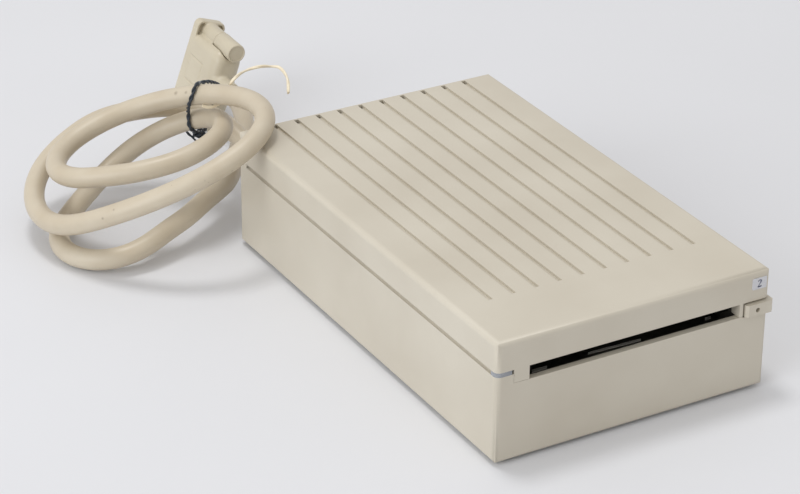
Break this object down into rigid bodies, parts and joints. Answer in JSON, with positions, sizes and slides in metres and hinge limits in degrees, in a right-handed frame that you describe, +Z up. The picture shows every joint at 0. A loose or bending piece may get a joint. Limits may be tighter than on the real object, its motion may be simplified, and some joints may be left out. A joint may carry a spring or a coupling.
{
  "type": "external floppy disk drive",
  "caption": "Desktop box with a front disk slot, eject button, light window and vented roof, and a coiled captive cable with a screw-locked plug.",
  "frame": {"origin": "middle of the case's footprint on the surface it stands on", "axes": "+Z up, the front with the disk slot faces -Y, +X is the side of the eject button"},
  "size_m": [0.1987, 0.3358, 0.0623],
  "materials": {
    "case_plastic": "fine matt texture",
    "plug_plastic": "fine matt texture",
    "cable_plastic": "smooth soft sheath",
    "foot_rubber": "matt",
    "steel": "satin",
    "sheet_steel": "dull plated",
    "cast_alloy": "satin",
    "circuit_board": "lacquered",
    "black_plastic": "matt",
    "window_plastic": "frosted",
    "lamp_plastic": "clear tinted",
    "label_film": "satin film",
    "copper_wire": "lacquered wire",
    "plated_pins": "gold plated",
    "dark_tie": "dark coated wire",
    "cream_tie": "cream coated wire"
  },
  "bodies": {
    "drive": {"top_cover": "case_plastic", "bottom_case": "case_plastic", "plug_hood_left": "plug_plastic", "plug_hood_right": "plug_plastic", "cable_boot": "plug_plastic", "cable_case_end": "cable_plastic", "cable_loops": "cable_plastic", "cable_plug_end": "cable_plastic", "rubber_feet": "foot_rubber", "case_screws": "steel", "mount_screws": "steel", "button_spring": "steel", "top_shield": "steel", "shield_screws": "steel", "spindle_bearing": "steel", "guide_rods": "steel", "rear_socket_shell": "steel", "plug_shell": "steel", "eject_motor": "sheet_steel", "stepper_motor": "sheet_steel", "drive_frame": "cast_alloy", "switch_board": "circuit_board", "led_board": "circuit_board", "motor_board": "circuit_board", "logic_board": "circuit_board", "eject_switch": "black_plastic", "track_sensor": "black_plastic", "board_chips": "black_plastic", "board_connector": "black_plastic", "rear_socket_insert": "black_plastic", "plug_insert": "black_plastic", "light_window": "window_plastic", "led_lamp": "lamp_plastic", "number_label": "label_film", "stator_coils": "copper_wire", "plug_pins": "plated_pins", "wire_tie": "dark_tie", "spare_tie": "cream_tie"},
    "button": {"eject_button": "case_plastic"},
    "slide": {"slide_plate": "sheet_steel"},
    "cage": {"disk_cage": "sheet_steel"},
    "shutter": {"shutter_arm": "sheet_steel"},
    "spindle": {"spindle_rotor": "sheet_steel", "spindle_hub": "cast_alloy"},
    "carriage": {"head_carriage": "black_plastic", "lower_head": "cast_alloy"},
    "head_arm": {"upper_arm": "black_plastic", "upper_head": "cast_alloy"},
    "screw": {"lead_screw": "steel"},
    "cam": {"cam_gear": "black_plastic"},
    "pinion": {"motor_pinion": "cast_alloy"},
    "upper_thumbscrew": {"thumbscrew_upper": "plug_plastic"},
    "lower_thumbscrew": {"thumbscrew_lower": "plug_plastic"}
  },
  "joints": [
    {"name": "button_press", "type": "slide", "parent": "drive", "child": "button", "axis": [0, 1, 0], "range_m": [0, 0.0005], "stiffness_N_per_m": 600, "springref_m": -0.002, "deforming": ["button_spring"]},
    {"name": "slide_release", "type": "slide", "parent": "drive", "child": "slide", "axis": [0, -1, 0], "range_m": [0, 0.005]},
    {"name": "cage_lower", "type": "slide", "parent": "drive", "child": "cage", "axis": [0, 0, -1], "range_m": [0, 0.0032]},
    {"name": "shutter_swing", "type": "hinge", "parent": "cage", "child": "shutter", "pos_m": [-0.038, -0.013, 0.0396], "axis": [0, 0, 1], "range_deg": [0, 40], "stiffness_Nm_per_rad": 0.004, "springref_deg": -28.65},
    {"name": "spindle_spin", "type": "hinge", "parent": "drive", "child": "spindle", "pos_m": [0, -0.042, 0], "axis": [0, 0, 1], "continuous": true},
    {"name": "carriage_step", "type": "slide", "parent": "drive", "child": "carriage", "axis": [0, -1, 0], "range_m": [0, 0.015]},
    {"name": "screw_turn", "type": "hinge", "parent": "drive", "child": "screw", "pos_m": [0.012, 0, 0.0282], "axis": [0, 1, 0], "range_deg": [0, 1800]},
    {"name": "head_load", "type": "hinge", "parent": "carriage", "child": "head_arm", "pos_m": [0, 0.019, 0.0398], "axis": [1, 0, 0], "range_deg": [0, 12]},
    {"name": "cam_turn", "type": "hinge", "parent": "drive", "child": "cam", "pos_m": [0.036, 0.008, 0.04], "axis": [0, 0, 1], "range_deg": [0, 180]},
    {"name": "pinion_turn", "type": "hinge", "parent": "drive", "child": "pinion", "pos_m": [0.036, 0.02, 0.04], "axis": [0, 0, 1], "range_deg": [-540, 0]},
    {"name": "upper_thumbscrew_turn", "type": "hinge", "parent": "drive", "child": "upper_thumbscrew", "pos_m": [-0.01175, 0.22675, 0.03894], "axis": [0.0436, 0.999, 0], "continuous": true},
    {"name": "lower_thumbscrew_turn", "type": "hinge", "parent": "drive", "child": "lower_thumbscrew", "pos_m": [-0.02305, 0.22725, 0.00646], "axis": [0.0436, 0.999, 0], "continuous": true}
  ],
  "couplings": [
    {"joint": "cage_lower", "follows": "slide_release", "ratio": 0.64},
    {"joint": "head_load", "follows": "slide_release", "rad_per_m": 41.888},
    {"joint": "cam_turn", "follows": "slide_release", "rad_per_m": 628.32},
    {"joint": "pinion_turn", "follows": "slide_release", "rad_per_m": -1885},
    {"joint": "screw_turn", "follows": "carriage_step", "rad_per_m": 2094.4}
  ]
}
